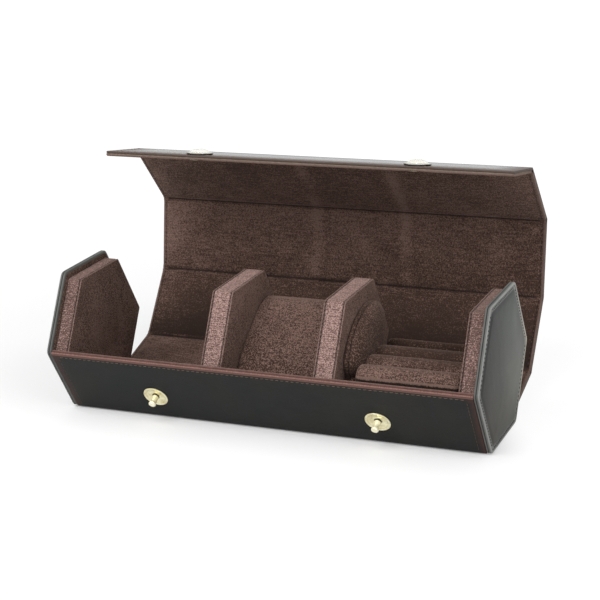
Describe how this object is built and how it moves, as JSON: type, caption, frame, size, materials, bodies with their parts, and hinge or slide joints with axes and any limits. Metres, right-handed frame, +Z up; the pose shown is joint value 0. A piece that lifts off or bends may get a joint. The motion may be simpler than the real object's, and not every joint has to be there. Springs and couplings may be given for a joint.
{
  "type": "watch travel case",
  "caption": "Hexagonal leather travel roll for wristwatches: suede-lined wrap-over lid with snap studs, padded ends, loose dividers and a rounded watch pillow.",
  "frame": {"origin": "middle of the floor's underside, midway between the end caps", "axes": "+X along the case to its right-hand end, +Y to the back where the lid is hinged, +Z up"},
  "size_m": [0.2154, 0.1278, 0.1206],
  "materials": {
    "outer_leather": "oiled near-black hide with a faint green cast, low sheen, burnished edges",
    "base_board": "dense fibreboard",
    "lid_board": "light greyboard",
    "suede_lining": "dark brown microsuede with a brushed nap",
    "insert_core": "dense fibreboard",
    "insert_suede": "brown microsuede with a brushed nap",
    "pillow_filling": "firm wadding",
    "pillow_suede": "brown microsuede with a brushed nap",
    "cushion_suede": "brown microsuede over firm wadding",
    "brass": "pale polished brass",
    "spring_wire": "bright spring wire"
  },
  "bodies": {
    "base": {"base_leather": "outer_leather", "bottom_board": "base_board", "front_board": "base_board", "base_lining": "suede_lining", "left_cap_leather": "outer_leather", "left_cap_board": "base_board", "right_cap_leather": "outer_leather", "right_cap_board": "base_board", "left_pad_core": "insert_core", "left_pad_band": "insert_suede", "left_pad_face": "insert_suede", "right_pad_core": "insert_core", "right_pad_band": "insert_suede", "right_pad_face": "insert_suede", "stud_washers": "brass", "stud_posts": "brass", "stud_backplates": "brass"},
    "back_lower": {"back_lower_leather": "outer_leather", "back_lower_board": "lid_board", "back_lower_lining": "suede_lining"},
    "back_upper": {"back_upper_leather": "outer_leather", "back_upper_board": "lid_board", "back_upper_lining": "suede_lining"},
    "top": {"top_leather": "outer_leather", "top_board": "lid_board", "top_lining": "suede_lining"},
    "front_upper": {"front_upper_leather": "outer_leather", "front_upper_board": "lid_board", "front_upper_lining": "suede_lining"},
    "flap": {"flap_leather": "outer_leather", "flap_board": "lid_board", "flap_lining": "suede_lining", "snap_caps": "brass", "snap_sockets": "brass", "snap_springs": "spring_wire"},
    "divider_1": {"divider_1_core": "insert_core", "divider_1_band": "insert_suede", "divider_1_faces": "insert_suede"},
    "divider_2": {"divider_2_core": "insert_core", "divider_2_band": "insert_suede", "divider_2_faces": "insert_suede"},
    "pillow": {"pillow_core": "pillow_filling", "pillow_cover": "pillow_suede", "pillow_ends": "pillow_suede"},
    "cushion": {"cushion_board": "base_board", "cushion_seat": "cushion_suede", "cushion_cheek": "cushion_suede"}
  },
  "joints": [
    {"name": "floor_fold", "type": "hinge", "parent": "base", "child": "back_lower", "pos_m": [0, 0.01931, 0.0012], "axis": [1, 0, 0], "range_deg": [-15.2, 44.8]},
    {"name": "back_fold", "type": "hinge", "parent": "back_lower", "child": "back_upper", "pos_m": [0, 0.05657, 0.01132], "axis": [1, 0, 0], "range_deg": [-37.6, 22.4]},
    {"name": "top_fold", "type": "hinge", "parent": "back_upper", "child": "top", "pos_m": [0, 0.07992, 0.04208], "axis": [1, 0, 0], "range_deg": [-27.2, 32.8]},
    {"name": "front_fold", "type": "hinge", "parent": "top", "child": "front_upper", "pos_m": [0, 0.08662, 0.08011], "axis": [1, 0, 0], "range_deg": [-50, 5.92]},
    {"name": "flap_fold", "type": "hinge", "parent": "front_upper", "child": "flap", "pos_m": [0, 0.06044, 0.11132], "axis": [1, 0, 0], "range_deg": [-31.8, 24.48]},
    {"name": "divider_1_shift", "type": "slide", "parent": "base", "child": "divider_1", "axis": [1, 0, 0], "range_m": [-0.06, 0]},
    {"name": "divider_2_lift", "type": "slide", "parent": "base", "child": "divider_2", "axis": [0, 0.5, -0.866], "range_m": [-0.075, 0]},
    {"name": "pillow_lift", "type": "slide", "parent": "base", "child": "pillow", "axis": [0, 0.5, -0.866], "range_m": [-0.07, 0]},
    {"name": "cushion_lift", "type": "slide", "parent": "base", "child": "cushion", "axis": [0, 0.5, -0.866], "range_m": [-0.07, 0]}
  ]
}
